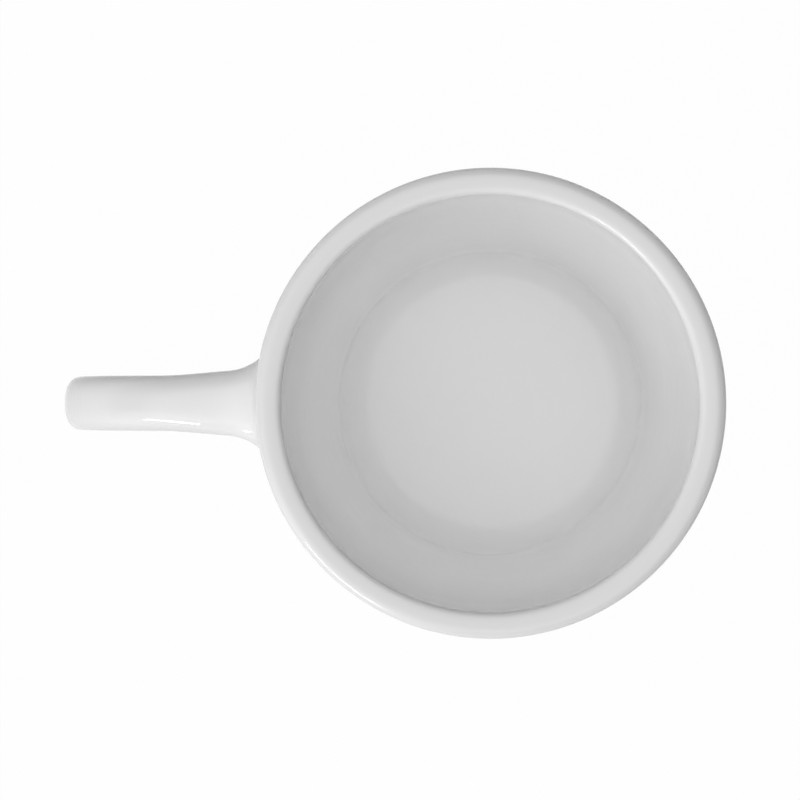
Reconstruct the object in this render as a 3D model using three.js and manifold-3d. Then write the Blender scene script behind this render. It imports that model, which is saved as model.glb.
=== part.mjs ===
// Coffee mug: a tapered porcelain cup with a rounded lip and a foot ring, and an ear
// handle that is cast by itself, trimmed to the taper of the cup and luted on with slip.
// Millimetres, +Z up. The mug stands on z = 0 with its handle towards -X, and the origin is
// on the table, half way along the mug's length.
import * as THREE from 'three';
import { mergeVertices } from 'three/addons/utils/BufferGeometryUtils.js';
import Module from 'manifold-3d';

// Cup
const rimRadius = 42;
const mugHeight = 92;
const wallDraftDegrees = 5;
const lipWidth = 4.8;
const lipRise = 2;
const lipOuterSquareness = 2.5;
const lipInnerSquareness = 3.6;
const baseThickness = 4.5;
const floorFillet = 6.7;
const heelRadius = 11;
const footRadius = 30;
const footWidth = 4.4;
const footHeight = 2;
const footEdge = 0.7;

// Handle
const handleReach = 80.5;
const upperRootDrop = 16;
const lowerRootHeight = 26;
const gripHeight = 54;
const upperBendLength = 29;
const lowerBendLength = 33;
const gripWidth = 10.2;
const gripThickness = 7.2;
const rootWidth = 12.7;
const rootThickness = 8.2;
const rootTaperLength = 20;
const flareWidth = 7;
const flareHeight = 3.3;
const sectionSquareness = 2.5;

// Slip joint between the cup and the handle
const slipGap = 0.3;

// Facets
const cupSegments = 96;
const lipSteps = 12;
const filletSteps = 7;
const heelSteps = 8;
const sectionPoints = 24;
const flareSteps = 5;
const gripSteps = 26;
const weldDistance = 1e-4;

const wasm = await Module();
wasm.setup();

// Slopes and levels that the cup and the handle share
const draft = THREE.MathUtils.degToRad(wallDraftDegrees);
const lipBase = mugHeight - lipRise;
const floorLevel = footHeight + baseThickness;

function outerRadius(z) {
  return rimRadius - (lipBase - z) * Math.tan(draft);
}

function innerRadius(z) {
  return outerRadius(z) - lipWidth;
}

function arc(centreX, centreZ, radiusX, radiusZ, from, to, steps) {
  const clockwise = to < from;
  return new THREE.EllipseCurve(centreX, centreZ, radiusX, radiusZ, from, to, clockwise).getPoints(steps);
}

function evenSteps(from, to, steps) {
  return Array.from({ length: steps }, (_, i) => from + ((to - from) * (i + 1)) / steps);
}

function signedPower(value, power) {
  return Math.sign(value) * Math.abs(value) ** power;
}

// A point at a turn round a flattened oval; more squareness flattens its sides
function ovalPoint(turn, halfWidth, halfHeight, squareness) {
  return new THREE.Vector2(
    halfWidth * signedPower(Math.cos(turn), 2 / squareness),
    halfHeight * signedPower(Math.sin(turn), 2 / squareness),
  );
}

// The centre of the round corner between a level floor and the drafted wall above it
function cornerCentre(level, radius, wallRadius) {
  const tangentHeight = level + radius * (1 - Math.sin(draft));
  return { x: wallRadius(tangentHeight) - radius * Math.cos(draft), z: level + radius };
}

// The recessed underside from the axis out, and the flat face of the foot ring
function undersideProfile() {
  const ringInside = footRadius - footWidth;
  return [
    new THREE.Vector2(0, footHeight),
    new THREE.Vector2(ringInside - footEdge, footHeight),
    new THREE.Vector2(ringInside, footEdge),
    new THREE.Vector2(ringInside + footEdge, 0),
    new THREE.Vector2(footRadius - footEdge, 0),
  ];
}

// The outside of the cup from the foot ring up round the heel to the lip
function outsideProfile() {
  const heel = cornerCentre(footHeight, heelRadius, outerRadius);
  const footTop = -Math.acos((footRadius - heel.x) / heelRadius);
  return [
    new THREE.Vector2(footRadius, footEdge),
    ...arc(heel.x, heel.z, heelRadius, heelRadius, footTop, -draft, heelSteps),
    new THREE.Vector2(rimRadius, lipBase),
  ];
}

// A point at a turn over the lip, whose inner edge is tighter than its outer edge
function lipPoint(turn) {
  const squareness = turn < Math.PI / 2 ? lipOuterSquareness : lipInnerSquareness;
  const middle = new THREE.Vector2(rimRadius - lipWidth / 2, lipBase);
  return ovalPoint(turn, lipWidth / 2, lipRise, squareness).add(middle);
}

// Over the lip, down the inside of the wall and round the floor's fillet to the axis
function insideProfile() {
  const corner = cornerCentre(floorLevel, floorFillet, innerRadius);
  return [
    ...evenSteps(0, Math.PI, lipSteps).map(lipPoint),
    ...arc(corner.x, corner.z, floorFillet, floorFillet, -draft, -Math.PI / 2, filletSteps),
    new THREE.Vector2(0, floorLevel),
  ];
}

// A solid of revolution about +Z, from a profile of radius and height
function revolve(profile) {
  return new THREE.LatheGeometry(profile, cupSegments).rotateX(Math.PI / 2);
}

function cupGeometry() {
  return revolve([...undersideProfile(), ...outsideProfile(), ...insideProfile()]);
}

// The full cup without its hollow, larger all round by the slip joint, that trims the handle
function seatGeometry() {
  const outside = outsideProfile().map((point) => new THREE.Vector2(point.x + slipGap, point.y));
  return revolve([new THREE.Vector2(0, footEdge), ...outside, new THREE.Vector2(0, lipBase)]);
}

// The handle's centreline as distance from the cup's axis and height: a level arm, the upper
// bend to the back of the grip, the longer lower bend, and a level arm back to the wall
function handlePath() {
  const upper = mugHeight - upperRootDrop;
  const lower = lowerRootHeight;
  const back = handleReach - gripThickness / 2;
  const upperBend = back - upperBendLength;
  const lowerBend = back - lowerBendLength;
  const upperWall = new THREE.Vector2(outerRadius(upper), upper);
  const lowerWall = new THREE.Vector2(outerRadius(lower), lower);
  const upperRise = upper - gripHeight;
  const lowerDrop = gripHeight - lower;
  const path = new THREE.CurvePath();
  path.add(new THREE.LineCurve(upperWall, new THREE.Vector2(upperBend, upper)));
  path.add(new THREE.EllipseCurve(upperBend, gripHeight, upperBendLength, upperRise, Math.PI / 2, 0, true));
  path.add(new THREE.EllipseCurve(lowerBend, gripHeight, lowerBendLength, lowerDrop, 0, -Math.PI / 2, true));
  path.add(new THREE.LineCurve(new THREE.Vector2(lowerBend, lower), lowerWall));
  return path;
}

// How far a quarter-round flare stands out at a distance from the wall
function flare(distance, radius) {
  const depth = THREE.MathUtils.clamp(1 - distance / radius, 0, 1);
  return radius * (1 - Math.sqrt(1 - depth * depth));
}

// Half of a section's width or thickness at a distance from the wall: the grip's size eases
// into the root's, and the flare spreads it onto the cup
function halfSize(distance, grip, root, flareRadius) {
  const towardsRoot = 1 - THREE.MathUtils.smoothstep(distance, 0, rootTaperLength);
  return (grip + (root - grip) * towardsRoot) / 2 + flare(distance, flareRadius);
}

// Distances along the centreline that get a section, crowded into the flares. The first and
// the last lie inside the wall, where the cup trims them off.
function handleStations(total) {
  const flareDepth = Math.max(flareWidth, flareHeight);
  const roots = [-lipWidth / 2, 0];
  for (const turn of evenSteps(0, Math.PI / 2, flareSteps)) {
    roots.push(flareDepth * (1 - Math.cos(turn)));
  }
  return [
    ...roots,
    ...evenSteps(flareDepth, total - flareDepth, gripSteps).slice(0, -1),
    ...roots.reverse().map((depth) => total - depth),
  ];
}

// One flattened oval section of the handle. Near the wall it bends to the cup's round taper,
// so that the flare lands on the wall evenly.
function handleSection(path, along) {
  const total = path.getLength();
  const share = THREE.MathUtils.clamp(along / total, 0, 1);
  const heading = path.getTangent(share);
  const centre = path.getPoint(share).addScaledVector(heading, along - share * total);
  const outwards = new THREE.Vector2(-heading.y, heading.x);
  const distance = Math.max(0, Math.min(along, total - along));
  const halfWidth = halfSize(distance, gripWidth, rootWidth, flareWidth);
  const halfThickness = halfSize(distance, gripThickness, rootThickness, flareHeight);
  const hug = 1 - THREE.MathUtils.smoothstep(distance, 0, rootTaperLength);
  const section = [];
  for (let i = 0; i < sectionPoints; i += 1) {
    const turn = (i / sectionPoints) * 2 * Math.PI;
    const point = ovalPoint(turn, halfWidth, halfThickness, sectionSquareness);
    const reach = centre.x + outwards.x * point.y;
    const height = centre.y + outwards.y * point.y;
    const wallStep = Math.sqrt(outerRadius(height) ** 2 - point.x ** 2) - outerRadius(centre.y);
    section.push(new THREE.Vector3(-reach - hug * wallStep, point.x, height));
  }
  return section;
}

// A closed skin through a row of sections with the same number of points
function loft(sections) {
  const count = sections[0].length;
  const points = sections.flat();
  const triangles = [];
  for (let ring = 0; ring + 1 < sections.length; ring += 1) {
    for (let i = 0; i < count; i += 1) {
      const next = (i + 1) % count;
      const near = [ring * count + i, ring * count + next];
      const far = [near[0] + count, near[1] + count];
      triangles.push(near[0], far[1], near[1], near[0], far[0], far[1]);
    }
  }
  const last = points.length - count;
  for (let i = 1; i + 1 < count; i += 1) {
    triangles.push(0, i, i + 1, last, last + i + 1, last + i);
  }
  return new THREE.BufferGeometry().setFromPoints(points).setIndex(triangles);
}

// A closed mesh as a solid that can be cut
function solidOf(geometry) {
  const bare = geometry.clone();
  bare.deleteAttribute('normal');
  bare.deleteAttribute('uv');
  const welded = mergeVertices(bare, weldDistance);
  const triVerts = [];
  for (let i = 0; i < welded.index.count; i += 3) {
    const corners = [0, 1, 2].map((k) => welded.index.getX(i + k));
    if (new Set(corners).size === 3) {
      triVerts.push(...corners);
    }
  }
  return new wasm.Manifold(new wasm.Mesh({
    numProp: 3,
    vertProperties: new Float32Array(welded.attributes.position.array),
    triVerts: new Uint32Array(triVerts),
  }));
}

function geometryOf(solid) {
  const { vertProperties, triVerts } = solid.getMesh();
  const geometry = new THREE.BufferGeometry();
  geometry.setAttribute('position', new THREE.BufferAttribute(vertProperties, 3));
  geometry.setIndex(new THREE.BufferAttribute(triVerts, 1));
  geometry.computeVertexNormals();
  return geometry;
}

function handleGeometry() {
  const path = handlePath();
  const sections = handleStations(path.getLength()).map((along) => handleSection(path, along));
  return geometryOf(solidOf(loft(sections)).subtract(solidOf(seatGeometry())));
}

function piece(name, geometry) {
  const glaze = new THREE.MeshStandardMaterial({ color: 0xefeeeb, roughness: 0.12, metalness: 0 });
  const mesh = new THREE.Mesh(geometry, glaze);
  mesh.name = name;
  return mesh;
}

const mug = new THREE.Group();
mug.add(piece('mug_body', cupGeometry()), piece('handle', handleGeometry()));
mug.position.x = (handleReach - rimRadius) / 2;

const group = new THREE.Group();
group.add(mug);

export default group;
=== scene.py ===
import math

import bmesh
import bpy
from mathutils import Matrix, Vector


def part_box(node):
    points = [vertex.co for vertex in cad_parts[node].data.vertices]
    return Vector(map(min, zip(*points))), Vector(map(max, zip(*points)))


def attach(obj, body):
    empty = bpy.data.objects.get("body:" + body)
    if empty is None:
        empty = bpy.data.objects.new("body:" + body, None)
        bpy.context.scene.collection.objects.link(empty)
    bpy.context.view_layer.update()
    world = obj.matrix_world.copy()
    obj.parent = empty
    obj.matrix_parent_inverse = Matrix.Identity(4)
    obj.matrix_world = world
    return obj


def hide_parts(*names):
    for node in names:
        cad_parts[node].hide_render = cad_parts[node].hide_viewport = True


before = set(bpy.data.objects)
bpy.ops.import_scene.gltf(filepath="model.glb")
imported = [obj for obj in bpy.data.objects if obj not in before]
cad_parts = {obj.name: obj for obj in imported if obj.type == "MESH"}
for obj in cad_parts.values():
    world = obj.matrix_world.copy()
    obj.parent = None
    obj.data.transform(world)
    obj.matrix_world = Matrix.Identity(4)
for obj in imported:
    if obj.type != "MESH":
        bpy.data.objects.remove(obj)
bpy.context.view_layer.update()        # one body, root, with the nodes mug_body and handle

# the cup's axis, rim and height, and the handle's reach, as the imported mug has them
cupLow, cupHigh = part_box("mug_body")
handleLow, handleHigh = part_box("handle")
cupAxis = Vector(((cupLow.x + cupHigh.x) / 2, (cupLow.y + cupHigh.y) / 2, 0))
rimRadius = (cupHigh.y - cupLow.y) / 2
mugHeight = cupHigh.z
handleReach = cupAxis.x - handleLow.x
print("frame: rim", round(rimRadius * 2000, 1), "mm, height", round(mugHeight * 1000, 1), "mm")

cup = {
    "wallDraft": math.radians(5),
    "lipWidth": 0.0048,
    "lipRise": 0.002,
    "lipSquareness": 2.5,
    "lipInnerSquareness": 3.6,
    "baseThickness": 0.0045,
    "floorFillet": 0.0067,
    "heelRadius": 0.011,
    "footRadius": 0.030,
    "footWidth": 0.0044,
    "footHeight": 0.002,
    "footEdge": 0.0007,
    "arcSteps": 14,
    "lipSteps": 32,
    "wallLoops": 12,
    "turnSteps": 192,
}
lipBase = mugHeight - cup["lipRise"]
floorLevel = cup["footHeight"] + cup["baseThickness"]


def outerRadius(z):
    return rimRadius - (lipBase - z) * math.tan(cup["wallDraft"])


def innerRadius(z):
    return outerRadius(z) - cup["lipWidth"]


def roundCorner(level, radius, wallRadius):    # centre of the corner between a level and the wall
    tangentZ = level + radius * (1 - math.sin(cup["wallDraft"]))
    return wallRadius(tangentZ) - radius * math.cos(cup["wallDraft"]), level + radius


def lineTo(bm, pen, radius, z):
    tip = bmesh.ops.extrude_vert_indiv(bm, verts=[pen])["verts"][0]
    tip.co = (radius, 0, z)
    return tip


def arcTo(bm, pen, centre, angle, steps):    # positive angles turn from +X towards +Z
    turned = bmesh.ops.spin(
        bm, geom=[pen], cent=(centre[0], 0, centre[1]), axis=(0, -1, 0), angle=angle, steps=steps)
    return next(item for item in turned["geom_last"] if isinstance(item, bmesh.types.BMVert))


def squareUp(value, squareness):    # flattens the sides of a round of radius 1
    return math.copysign(abs(value) ** (2 / squareness), value)


def finishPiece(bm, name, materials, node):
    mesh = bpy.data.meshes.new(name)
    for face in bm.faces:
        face.smooth = True
    bm.to_mesh(mesh)
    bm.free()
    piece = bpy.data.objects.new(name, mesh)
    for material in materials:
        mesh.materials.append(material)
    bpy.context.scene.collection.objects.link(piece)
    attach(piece, "root")
    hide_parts(node)
    print(name, len(mesh.polygons), "faces")
    return piece


def makeCup(glaze, bareClay):
    bm = bmesh.new()
    draft = cup["wallDraft"]
    ringInside = cup["footRadius"] - cup["footWidth"]
    edge = cup["footEdge"]

    # underside and foot ring, from the axis out
    pen = bm.verts.new((0, 0, cup["footHeight"]))
    pen = lineTo(bm, pen, ringInside * 0.5, cup["footHeight"])
    pen = lineTo(bm, pen, ringInside - edge * 2, cup["footHeight"])
    pen = arcTo(bm, pen, (ringInside - edge * 2, cup["footHeight"] - edge), -math.pi / 2, 4)
    pen = lineTo(bm, pen, ringInside - edge, edge)
    pen = arcTo(bm, pen, (ringInside, edge), math.pi / 2, 5)
    pen = lineTo(bm, pen, cup["footRadius"] - edge, 0)
    pen = arcTo(bm, pen, (cup["footRadius"] - edge, edge), math.pi / 2, 5)

    # heel and outer wall
    heel = roundCorner(cup["footHeight"], cup["heelRadius"], outerRadius)
    footTop = math.acos((cup["footRadius"] - heel[0]) / cup["heelRadius"])
    pen = lineTo(bm, pen, cup["footRadius"], heel[1] - cup["heelRadius"] * math.sin(footTop))
    pen = arcTo(bm, pen, heel, footTop - draft, cup["arcSteps"])
    wallFoot = pen.co.z
    for loop in range(1, cup["wallLoops"] + 1):
        z = wallFoot + (lipBase - wallFoot) * loop / cup["wallLoops"]
        pen = lineTo(bm, pen, outerRadius(z), z)

    # lip: a half round, squared up and lowered to its rise
    lipStart = len(bm.verts)
    half = cup["lipWidth"] / 2
    pen = arcTo(bm, pen, (rimRadius - half, lipBase), math.pi, cup["lipSteps"])
    bm.verts.ensure_lookup_table()
    for vert in bm.verts[lipStart:]:
        across = (vert.co.x - rimRadius + half) / half
        up = (vert.co.z - lipBase) / half
        squareness = cup["lipSquareness"] if across > 0 else cup["lipInnerSquareness"]
        vert.co.x = rimRadius - half + half * squareUp(across, squareness)
        vert.co.z = lipBase + cup["lipRise"] * squareUp(up, squareness)

    # inner wall, floor fillet and floor
    corner = roundCorner(floorLevel, cup["floorFillet"], innerRadius)
    wallFoot = floorLevel + cup["floorFillet"] * (1 - math.sin(draft))
    for loop in range(1, cup["wallLoops"] + 1):
        z = lipBase + (wallFoot - lipBase) * loop / cup["wallLoops"]
        pen = lineTo(bm, pen, innerRadius(z), z)
    pen = arcTo(bm, pen, corner, draft - math.pi / 2, cup["arcSteps"])
    for share in (0.75, 0.4, 0):
        pen = lineTo(bm, pen, corner[0] * share, floorLevel)

    bmesh.ops.translate(bm, vec=cupAxis, verts=bm.verts)
    bmesh.ops.spin(
        bm, geom=bm.verts[:] + bm.edges[:], cent=cupAxis, axis=(0, 0, 1), angle=2 * math.pi,
        steps=cup["turnSteps"], use_merge=True)
    bmesh.ops.remove_doubles(bm, verts=bm.verts, dist=1e-6)
    bmesh.ops.recalc_face_normals(bm, faces=bm.faces)
    for face in bm.faces:
        if max(vert.co.z for vert in face.verts) <= edge * 1.01:
            face.material_index = 1    # the foot ring is wiped clean of glaze
    return finishPiece(bm, "porcelain_cup", [glaze, bareClay], "mug_body")


handle = {
    "upperRootDrop": 0.016,
    "lowerRootHeight": 0.026,
    "gripHeight": 0.054,
    "upperBendLength": 0.029,
    "lowerBendLength": 0.033,
    "gripWidth": 0.0102,
    "gripThickness": 0.0072,
    "rootWidth": 0.0127,
    "rootThickness": 0.0082,
    "rootTaperLength": 0.020,
    "flareWidth": 0.007,
    "flareHeight": 0.0033,
    "sectionSquareness": 2.5,
    "sectionPoints": 48,
    "flareSteps": 14,
    "bendSteps": 30,
    "rootSink": 0.00002,
}


def handleCentreline():    # (reach from the cup's axis, height, heading) from the upper root to the lower
    upper = mugHeight - handle["upperRootDrop"]
    lower = handle["lowerRootHeight"]
    grip = handle["gripHeight"]
    back = handleReach - handle["gripThickness"] / 2
    upperBend = back - handle["upperBendLength"]
    lowerBend = back - handle["lowerBendLength"]
    flareDepth = max(handle["flareWidth"], handle["flareHeight"])
    turns = [math.pi / 2 * step / handle["flareSteps"] for step in range(handle["flareSteps"] + 1)]
    rootDepths = [flareDepth * (1 - math.cos(turn)) - handle["rootSink"] for turn in turns]

    def levelArm(wall, bend):
        return [wall + depth for depth in rootDepths] + [bend]

    def bendRound(centre, length, rise, first, last):
        stations = []
        for step in range(1, handle["bendSteps"] + 1):
            turn = first + (last - first) * step / handle["bendSteps"]
            heading = Vector((length * math.sin(turn), -rise * math.cos(turn))).normalized()
            stations.append((centre + length * math.cos(turn), grip + rise * math.sin(turn), heading))
        return stations

    path = [(reach, upper, Vector((1, 0))) for reach in levelArm(outerRadius(upper), upperBend)]
    path += bendRound(upperBend, handle["upperBendLength"], upper - grip, math.pi / 2, 0)
    path += bendRound(lowerBend, handle["lowerBendLength"], grip - lower, 0, -math.pi / 2)
    lowerArm = levelArm(outerRadius(lower), lowerBend)
    path += [(reach, lower, Vector((-1, 0))) for reach in reversed(lowerArm[:-1])]
    return path


def smoothStep(value, top):
    share = min(max(value / top, 0), 1)
    return share * share * (3 - 2 * share)


def halfSize(distance, grip, root, flareRadius):    # half a section at a distance from the wall
    size = grip + (root - grip) * (1 - smoothStep(distance, handle["rootTaperLength"]))
    depth = min(max(1 - distance / flareRadius, 0), 1)
    return size / 2 + flareRadius * (1 - math.sqrt(1 - depth * depth))


def makeHandle(glaze):
    path = handleCentreline()
    runs = [0]
    for here, there in zip(path, path[1:]):
        runs.append(runs[-1] + math.hypot(there[0] - here[0], there[1] - here[1]))
    distances = [min(run, runs[-1] - run) for run in runs]

    def stationMatrix(index):
        reach, height, heading = path[index]
        halfWidth = halfSize(distances[index], handle["gripWidth"], handle["rootWidth"], handle["flareWidth"])
        halfThick = halfSize(
            distances[index], handle["gripThickness"], handle["rootThickness"], handle["flareHeight"])
        across = Vector((0, halfWidth, 0))
        outwards = Vector((heading.y, 0, heading.x)) * halfThick
        along = Vector((-heading.x, 0, heading.y))
        turned = Matrix((across, outwards, along)).transposed().to_4x4()
        return Matrix.Translation((cupAxis.x - reach, 0, height)) @ turned

    # one squared-up round, pushed along the centreline section by section
    bm = bmesh.new()
    bmesh.ops.create_circle(bm, cap_ends=True, radius=1, segments=handle["sectionPoints"])
    for vert in bm.verts:
        vert.co.x = squareUp(vert.co.x, handle["sectionSquareness"])
        vert.co.y = squareUp(vert.co.y, handle["sectionSquareness"])
    bmesh.ops.transform(bm, matrix=stationMatrix(0), verts=bm.verts)
    ring = bm.edges[:]
    rings = [[vert for vert in bm.verts]]
    for edge in ring:
        edge.smooth = False    # the flare ends on the cup's wall
    for index in range(1, len(path)):
        grown = bmesh.ops.extrude_edge_only(bm, edges=ring)["geom"]
        verts = [item for item in grown if isinstance(item, bmesh.types.BMVert)]
        fresh = set(verts)
        ring = [item for item in grown if isinstance(item, bmesh.types.BMEdge) and set(item.verts) <= fresh]
        step = stationMatrix(index) @ stationMatrix(index - 1).inverted()
        bmesh.ops.transform(bm, matrix=step, verts=verts)
        rings.append(verts)
    bmesh.ops.edgeloop_fill(bm, edges=ring)
    for edge in ring:
        edge.smooth = False

    # near the wall the sections bend to the cup's round taper
    for verts, distance, station in zip(rings, distances, path):
        hug = 1 - smoothStep(distance, handle["rootTaperLength"])
        for vert in verts:
            wall = math.sqrt(outerRadius(vert.co.z) ** 2 - vert.co.y ** 2)
            vert.co.x -= hug * (wall - outerRadius(station[1]))
    bmesh.ops.recalc_face_normals(bm, faces=bm.faces)
    return finishPiece(bm, "ear_handle", [glaze], "handle")


def newMaterial(name):
    material = bpy.data.materials.new(name)
    material.use_nodes = True
    nodes = material.node_tree.nodes
    links = material.node_tree.links
    return material, nodes, links, nodes["Principled BSDF"]


porcelain = {
    "colour": (0.955, 0.955, 0.955, 1),
    "thinColour": (0.94, 0.94, 0.94, 1),
    "roughness": (0.02, 0.04),
    "ior": 1.42,
    "poolScale": 45,
    "rippleScale": 170,
    "rippleDepth": 0.00002,
}


def porcelainGlaze():
    material, nodes, links, shader = newMaterial("porcelain_glaze")
    place = nodes.new("ShaderNodeTexCoord")
    pools = nodes.new("ShaderNodeTexNoise")    # where the glaze ran thicker and thinner
    pools.inputs["Scale"].default_value = porcelain["poolScale"]
    pools.inputs["Detail"].default_value = 2
    links.new(place.outputs["Object"], pools.inputs["Vector"])
    tone = nodes.new("ShaderNodeMix")
    tone.data_type = "RGBA"
    tone.inputs["A"].default_value = porcelain["thinColour"]
    tone.inputs["B"].default_value = porcelain["colour"]
    links.new(pools.outputs["Fac"], tone.inputs["Factor"])
    links.new(tone.outputs["Result"], shader.inputs["Base Color"])
    gloss = nodes.new("ShaderNodeMapRange")
    gloss.inputs["To Min"].default_value = porcelain["roughness"][0]
    gloss.inputs["To Max"].default_value = porcelain["roughness"][1]
    links.new(pools.outputs["Fac"], gloss.inputs["Value"])
    links.new(gloss.outputs["Result"], shader.inputs["Roughness"])
    shader.inputs["IOR"].default_value = porcelain["ior"]
    ripple = nodes.new("ShaderNodeTexNoise")    # the fired glaze is never quite flat
    ripple.inputs["Scale"].default_value = porcelain["rippleScale"]
    ripple.inputs["Detail"].default_value = 1
    links.new(place.outputs["Object"], ripple.inputs["Vector"])
    bump = nodes.new("ShaderNodeBump")
    bump.inputs["Distance"].default_value = porcelain["rippleDepth"]
    links.new(ripple.outputs["Fac"], bump.inputs["Height"])
    links.new(bump.outputs["Normal"], shader.inputs["Normal"])
    return material


clay = {
    "colour": (0.70, 0.67, 0.61, 1),
    "darkColour": (0.60, 0.57, 0.52, 1),
    "roughness": 0.75,
    "grainScale": 2600,
    "grainDepth": 0.00006,
}


def bareClay():
    material, nodes, links, shader = newMaterial("bare_clay")
    place = nodes.new("ShaderNodeTexCoord")
    grain = nodes.new("ShaderNodeTexNoise")
    grain.inputs["Scale"].default_value = clay["grainScale"]
    grain.inputs["Detail"].default_value = 4
    links.new(place.outputs["Object"], grain.inputs["Vector"])
    tone = nodes.new("ShaderNodeMix")
    tone.data_type = "RGBA"
    tone.inputs["A"].default_value = clay["darkColour"]
    tone.inputs["B"].default_value = clay["colour"]
    links.new(grain.outputs["Fac"], tone.inputs["Factor"])
    links.new(tone.outputs["Result"], shader.inputs["Base Color"])
    shader.inputs["Roughness"].default_value = clay["roughness"]
    bump = nodes.new("ShaderNodeBump")
    bump.inputs["Distance"].default_value = clay["grainDepth"]
    links.new(grain.outputs["Fac"], bump.inputs["Height"])
    links.new(bump.outputs["Normal"], shader.inputs["Normal"])
    return material


studio = {
    "overhead": 1.47,                      # a broad soft light above the mug
    "overheadTilt": math.radians(14),      # leaning towards the bright side
    "overheadEdge": (math.radians(46), math.radians(30)),
    "brightSide": math.radians(213),       # from +X towards +Y
    "side": 1.68,                          # a soft light from the handle's side
    "sideTurn": math.radians(225),
    "sideElevation": math.radians(22),
    "sideEdge": (math.radians(37), math.radians(8)),
    "horizon": 0.9,                        # a low band of light all round
    "horizonTop": 0.18,
    "backdropEdge": (0.26, 0.16),          # white behind the mug in level views
    "keySize": (0.40, 0.10),               # a small softbox for the crisp highlights
    "keySide": math.radians(230),
    "keyElevation": math.radians(26),
    "keyDistance": 1.0,
    "keyStrength": 26,
    "bounces": 12,                         # the white cup is lit from wall to wall
    "floorSize": 8,
    "floorGap": 0.00005,                   # keeps the floor clear of the foot's face
    "floorColour": (0.45, 0.45, 0.45, 1),
    "floorWhite": 0.985,
}


def towards(side, elevation):
    level = math.cos(elevation)
    return Vector((level * math.cos(side), level * math.sin(side), math.sin(elevation)))


def backgroundRays(nodes, links):    # 1 for rays that show the background as it looks
    rays = nodes.new("ShaderNodeLightPath")
    first = nodes.new("ShaderNodeMath")
    first.operation = "MAXIMUM"
    links.new(rays.outputs["Is Camera Ray"], first.inputs[0])
    links.new(rays.outputs["Is Glossy Ray"], first.inputs[1])
    both = nodes.new("ShaderNodeMath")
    both.operation = "MAXIMUM"
    links.new(first.outputs["Value"], both.inputs[0])
    links.new(rays.outputs["Is Transmission Ray"], both.inputs[1])
    return both.outputs["Value"]


def makeWorld():
    world = bpy.data.worlds.new("studio")
    world.use_nodes = True
    bpy.context.scene.world = world
    nodes = world.node_tree.nodes
    links = world.node_tree.links
    place = nodes.new("ShaderNodeTexCoord")

    def glow(axis, rim, full, strength):    # light that grows from its rim to its full strength
        turn = nodes.new("ShaderNodeVectorMath")
        turn.operation = "DOT_PRODUCT"
        turn.inputs[1].default_value = axis
        links.new(place.outputs["Generated"], turn.inputs[0])
        ramp = nodes.new("ShaderNodeMapRange")
        ramp.interpolation_type = "SMOOTHSTEP"
        ramp.inputs["From Min"].default_value = rim
        ramp.inputs["From Max"].default_value = full
        ramp.inputs["To Min"].default_value = 0
        ramp.inputs["To Max"].default_value = strength
        links.new(turn.outputs["Value"], ramp.inputs["Value"])
        return ramp.outputs["Result"]

    def edges(angles):
        return (math.cos(angle) for angle in angles)

    overhead = towards(studio["brightSide"], math.pi / 2 - studio["overheadTilt"])
    side = towards(studio["sideTurn"], studio["sideElevation"])
    glows = [
        glow(overhead, *edges(studio["overheadEdge"]), studio["overhead"]),
        glow(side, *edges(studio["sideEdge"]), studio["side"]),
        glow((0, 0, 1), studio["horizonTop"], 0, studio["horizon"]),
    ]
    total = glows[0]
    for part in glows[1:]:
        both = nodes.new("ShaderNodeMath")
        both.operation = "ADD"
        links.new(total, both.inputs[0])
        links.new(part, both.inputs[1])
        total = both.outputs["Value"]
    backdrop = nodes.new("ShaderNodeMath")
    backdrop.operation = "MULTIPLY"
    links.new(backgroundRays(nodes, links), backdrop.inputs[0])
    links.new(glow((0, 0, 1), *studio["backdropEdge"], 1), backdrop.inputs[1])
    brighter = nodes.new("ShaderNodeMath")
    brighter.operation = "MAXIMUM"
    links.new(total, brighter.inputs[0])
    links.new(backdrop.outputs["Value"], brighter.inputs[1])
    light = nodes["Background"]
    light.inputs["Color"].default_value = (1, 1, 1, 1)
    links.new(brighter.outputs["Value"], light.inputs["Strength"])


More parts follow.
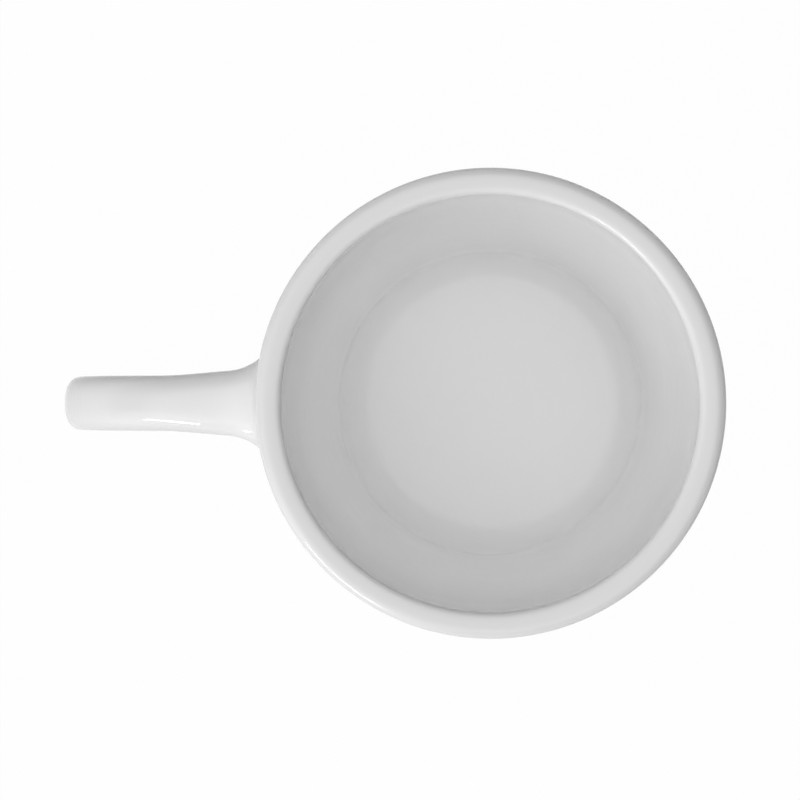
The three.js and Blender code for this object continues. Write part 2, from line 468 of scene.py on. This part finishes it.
def makeFloor():
    bm = bmesh.new()
    bmesh.ops.create_grid(bm, x_segments=1, y_segments=1, size=studio["floorSize"] / 2)
    bmesh.ops.translate(bm, vec=(0, 0, -studio["floorGap"]), verts=bm.verts)
    mesh = bpy.data.meshes.new("floor")
    bm.to_mesh(mesh)
    bm.free()
    floor = bpy.data.objects.new("floor", mesh)
    bpy.context.scene.collection.objects.link(floor)
    material, nodes, links, shader = newMaterial("white_floor")
    shader.inputs["Base Color"].default_value = studio["floorColour"]
    shader.inputs["Roughness"].default_value = 0.9
    white = nodes.new("ShaderNodeEmission")
    white.inputs["Strength"].default_value = 1
    share = nodes.new("ShaderNodeMath")
    share.operation = "MULTIPLY"
    share.inputs[1].default_value = studio["floorWhite"]
    links.new(backgroundRays(nodes, links), share.inputs[0])
    mix = nodes.new("ShaderNodeMixShader")
    links.new(share.outputs["Value"], mix.inputs["Fac"])
    links.new(shader.outputs["BSDF"], mix.inputs[1])
    links.new(white.outputs["Emission"], mix.inputs[2])
    links.new(mix.outputs["Shader"], nodes["Material Output"].inputs["Surface"])
    mesh.materials.append(material)


def makeSoftbox(name, size, strength, direction, distance):
    lamp = bpy.data.lights.new(name, "AREA")
    lamp.shape = "RECTANGLE"
    lamp.size, lamp.size_y = size
    lamp.energy = math.pi * size[0] * size[1] * strength    # strength 1 looks white
    box = bpy.data.objects.new(name, lamp)
    box.location = cupAxis + Vector((0, 0, mugHeight)) + direction * distance
    box.rotation_euler = direction.to_track_quat("Z", "Y").to_euler()
    bpy.context.scene.collection.objects.link(box)
    box.visible_diffuse = False    # it only shows in the gloss


photo = {
    "rimPixels": 235.5,         # rim radius in the photo
    "rimCentre": (490.2, 403.2),
    "imageSize": 800,
    "distance": 0.600,          # camera above the widest part of the lip
}


def makeCamera():
    lens = bpy.data.cameras.new("camera")
    camera = bpy.data.objects.new("camera", lens)
    bpy.context.scene.collection.objects.link(camera)
    pixel = rimRadius / photo["rimPixels"]
    lens.lens = lens.sensor_width * photo["distance"] / (photo["imageSize"] * pixel)
    middle = photo["imageSize"] / 2
    aside = Vector(((middle - photo["rimCentre"][0]) * pixel, (photo["rimCentre"][1] - middle) * pixel, 0))
    target = cupAxis + aside + Vector((0, 0, lipBase))
    camera.location = cupAxis + Vector((0, 0, lipBase + photo["distance"]))
    back = (camera.location - target).normalized()
    right = Vector((0, 1, 0)).cross(back).normalized()
    up = back.cross(right)
    camera.rotation_euler = Matrix((right, up, back)).transposed().to_euler()
    bpy.context.scene.camera = camera


bpy.context.scene.view_settings.view_transform = "Standard"
bpy.context.scene.cycles.diffuse_bounces = studio["bounces"]
makeCamera()
makeWorld()
makeFloor()
makeSoftbox(
    "key_softbox", studio["keySize"], studio["keyStrength"],
    towards(studio["keySide"], studio["keyElevation"]), studio["keyDistance"])
print("studio ready")
glaze = porcelainGlaze()
makeCup(glaze, bareClay())
makeHandle(glaze)
